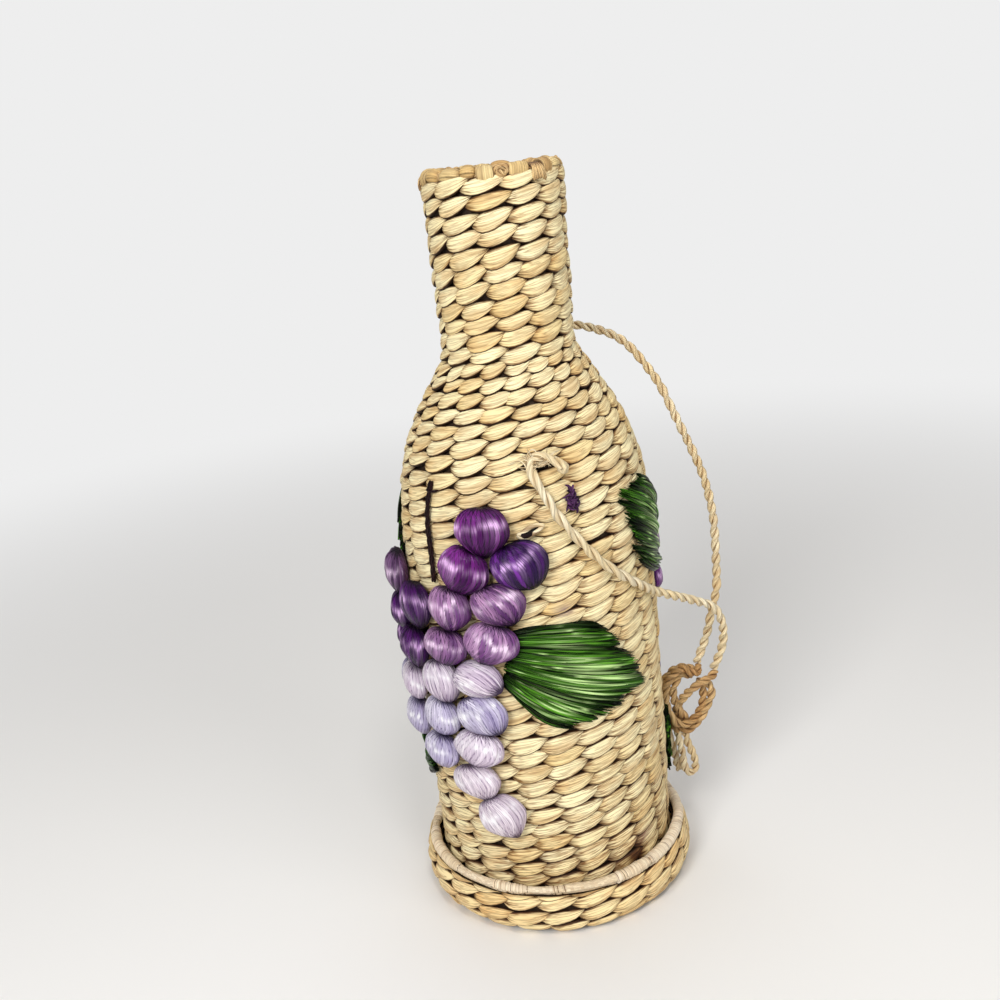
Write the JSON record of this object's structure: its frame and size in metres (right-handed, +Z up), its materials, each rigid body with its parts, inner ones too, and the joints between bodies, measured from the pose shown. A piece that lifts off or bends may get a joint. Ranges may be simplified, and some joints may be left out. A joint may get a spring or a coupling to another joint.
{
  "type": "wine bottle basket",
  "caption": "Bottle-shaped cover of twined rush standing in a shallow woven tray, with raffia grape bunches and leaves sewn on and a twisted cord handle.",
  "frame": {"origin": "centre of the tray's flat underside, on the axis of the bottle shape", "axes": "+Z up along the bottle's axis, -Y towards the front bunch's side, +X towards the knot"},
  "size_m": [0.1536, 0.128, 0.33],
  "materials": {
    "rush_weave": "matt dried rush",
    "rush_border": "matt dried rush",
    "rush_cord": "twisted two ply",
    "raffia_purple": "silky raffia",
    "raffia_mauve": "silky raffia",
    "raffia_lilac": "silky raffia",
    "raffia_green": "glossy raffia",
    "raffia_brown": "matt raffia"
  },
  "bodies": {
    "tray": {"base_tray": "rush_weave", "tray_rim": "rush_border", "inner_cord_front": "rush_cord", "inner_cord_rear": "rush_cord"},
    "cover": {"cover_body": "rush_weave", "cover_neck": "rush_weave", "mouth_border": "rush_border", "front_grape_01": "raffia_purple", "front_grape_02": "raffia_purple", "front_grape_03": "raffia_purple", "front_grape_04": "raffia_purple", "front_grape_05": "raffia_purple", "front_grape_06": "raffia_purple", "front_grape_07": "raffia_purple", "front_grape_08": "raffia_mauve", "front_grape_09": "raffia_mauve", "front_grape_10": "raffia_mauve", "front_grape_11": "raffia_mauve", "front_grape_12": "raffia_lilac", "front_grape_13": "raffia_lilac", "front_grape_14": "raffia_lilac", "front_grape_15": "raffia_lilac", "front_grape_16": "raffia_lilac", "front_grape_17": "raffia_lilac", "front_grape_18": "raffia_lilac", "front_grape_19": "raffia_lilac", "front_grape_20": "raffia_lilac", "front_grape_21": "raffia_lilac", "front_stem": "raffia_brown", "front_leaf_right": "raffia_green", "front_leaf_upper": "raffia_green", "front_leaf_lower": "raffia_green", "rear_grape_01": "raffia_purple", "rear_grape_02": "raffia_purple", "rear_grape_03": "raffia_purple", "rear_grape_04": "raffia_purple", "rear_grape_05": "raffia_purple", "rear_grape_06": "raffia_purple", "rear_grape_07": "raffia_purple", "rear_grape_08": "raffia_mauve", "rear_grape_09": "raffia_mauve", "rear_grape_10": "raffia_mauve", "rear_grape_11": "raffia_mauve", "rear_grape_12": "raffia_lilac", "rear_grape_13": "raffia_lilac", "rear_grape_14": "raffia_lilac", "rear_grape_15": "raffia_lilac", "rear_grape_16": "raffia_lilac", "rear_grape_17": "raffia_lilac", "rear_grape_18": "raffia_lilac", "rear_grape_19": "raffia_lilac", "rear_grape_20": "raffia_lilac", "rear_grape_21": "raffia_lilac", "rear_stem": "raffia_brown", "rear_leaf_right": "raffia_green", "rear_leaf_upper": "raffia_green", "rear_leaf_lower": "raffia_green", "handle_cord_front": "rush_cord", "handle_cord_rear": "rush_cord", "handle_knot": "rush_cord"}
  },
  "joints": [
    {"name": "cover_lift", "type": "slide", "parent": "tray", "child": "cover", "axis": [0, 0, 1], "range_m": [0, 0.3]}
  ]
}
